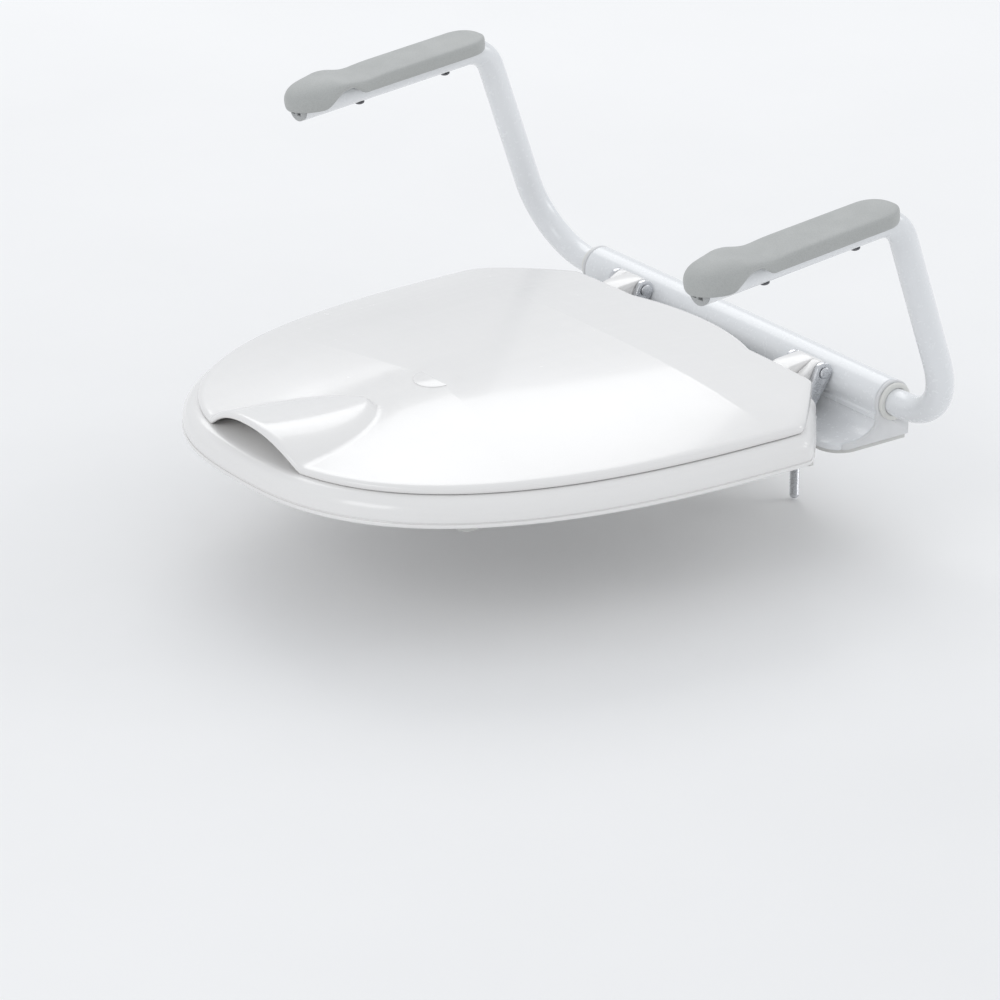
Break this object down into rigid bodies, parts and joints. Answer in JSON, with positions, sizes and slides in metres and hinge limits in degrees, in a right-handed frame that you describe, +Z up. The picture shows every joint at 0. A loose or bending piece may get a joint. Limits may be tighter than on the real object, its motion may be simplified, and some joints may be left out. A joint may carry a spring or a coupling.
{
  "type": "toilet seat with fold-up arm supports",
  "caption": "Toilet seat and lid hinged on a rear mounting rail, with two fold-up padded arm supports that swing on the rail and clamp bolts beneath it.",
  "frame": {"origin": "on the underside of the rail's mat, which rests on the rear ledge of the bowl, midway between the arms and straight below the arm pivot axis", "axes": "+Z up; the user sits facing -Y; +X toward the right-hand arm as the user in front of the seat sees it"},
  "size_m": [0.561, 0.48, 0.3047],
  "materials": {
    "powder_white": "gloss powder coat",
    "cap_white": "satin",
    "seat_white": "gloss",
    "pad_grey": "fine moulded texture",
    "plug_grey": "satin",
    "rubber_grey": "matte",
    "rubber_pale": "matte",
    "nylon": "satin",
    "steel": "bright zinc",
    "dark_steel": "blackened"
  },
  "bodies": {
    "rail": {"rail_profile": "powder_white", "rail_end_cap_right": "cap_white", "rail_end_cap_left": "cap_white", "base_mat": "rubber_pale", "pivot_bush_right": "nylon", "pivot_bush_left": "nylon", "arm_stop_pin_right": "steel", "arm_stop_pin_left": "steel", "bolt_right": "steel", "bolt_left": "steel", "hinge_bracket_right": "steel", "hinge_bracket_left": "steel", "hinge_pin_right": "steel", "hinge_pin_left": "steel", "hinge_screw_right_inner": "steel", "hinge_screw_right_outer": "steel", "hinge_screw_left_inner": "steel", "hinge_screw_left_outer": "steel"},
    "seat": {"seat_ring": "seat_white", "seat_bumper_front_right": "rubber_pale", "seat_bumper_front_left": "rubber_pale", "seat_bumper_rear_right": "rubber_pale", "seat_bumper_rear_left": "rubber_pale"},
    "lid": {"lid_shell": "seat_white", "lid_bumper_front_right": "rubber_pale", "lid_bumper_front_left": "rubber_pale", "lid_bumper_rear_right": "rubber_pale", "lid_bumper_rear_left": "rubber_pale"},
    "arm_right": {"arm_tube_right": "powder_white", "arm_pad_right": "pad_grey", "tube_end_plug_right": "plug_grey", "pad_screw_right_front": "dark_steel", "pad_screw_right_rear": "dark_steel", "arm_stop_collar_right": "nylon"},
    "washer_right": {"cone_washer_right": "rubber_grey"},
    "nut_right": {"wing_nut_right": "nylon"},
    "arm_left": {"arm_tube_left": "powder_white", "arm_pad_left": "pad_grey", "tube_end_plug_left": "plug_grey", "pad_screw_left_front": "dark_steel", "pad_screw_left_rear": "dark_steel", "arm_stop_collar_left": "nylon"},
    "washer_left": {"cone_washer_left": "rubber_grey"},
    "nut_left": {"wing_nut_left": "nylon"}
  },
  "joints": [
    {"name": "seat_hinge", "type": "hinge", "parent": "rail", "child": "seat", "pos_m": [0, -0.022, 0.0435], "axis": [1, 0, 0], "range_deg": [-95, 0]},
    {"name": "lid_hinge", "type": "hinge", "parent": "seat", "child": "lid", "pos_m": [0, -0.022, 0.0435], "axis": [-1, 0, 0], "range_deg": [0, 100]},
    {"name": "arm_right_hinge", "type": "hinge", "parent": "rail", "child": "arm_right", "pos_m": [0.18, 0, 0.0335], "axis": [-1, 0, 0], "range_deg": [0, 95]},
    {"name": "washer_right_slide", "type": "slide", "parent": "rail", "child": "washer_right", "axis": [0, 0, -1], "range_m": [0, 0.00375]},
    {"name": "wing_nut_right_turn", "type": "hinge", "parent": "washer_right", "child": "nut_right", "pos_m": [0.0775, -0.005, -0.0357], "axis": [0, 0, -1], "range_deg": [0, 1080]},
    {"name": "arm_left_hinge", "type": "hinge", "parent": "rail", "child": "arm_left", "pos_m": [-0.18, 0, 0.0335], "axis": [-1, 0, 0], "range_deg": [0, 95]},
    {"name": "washer_left_slide", "type": "slide", "parent": "rail", "child": "washer_left", "axis": [0, 0, -1], "range_m": [0, 0.00375]},
    {"name": "wing_nut_left_turn", "type": "hinge", "parent": "washer_left", "child": "nut_left", "pos_m": [-0.0775, -0.005, -0.0357], "axis": [0, 0, -1], "range_deg": [0, 1080]}
  ],
  "couplings": [
    {"joint": "wing_nut_right_turn", "follows": "washer_right_slide", "rad_per_m": 5026.5},
    {"joint": "wing_nut_left_turn", "follows": "washer_left_slide", "rad_per_m": 5026.5}
  ]
}
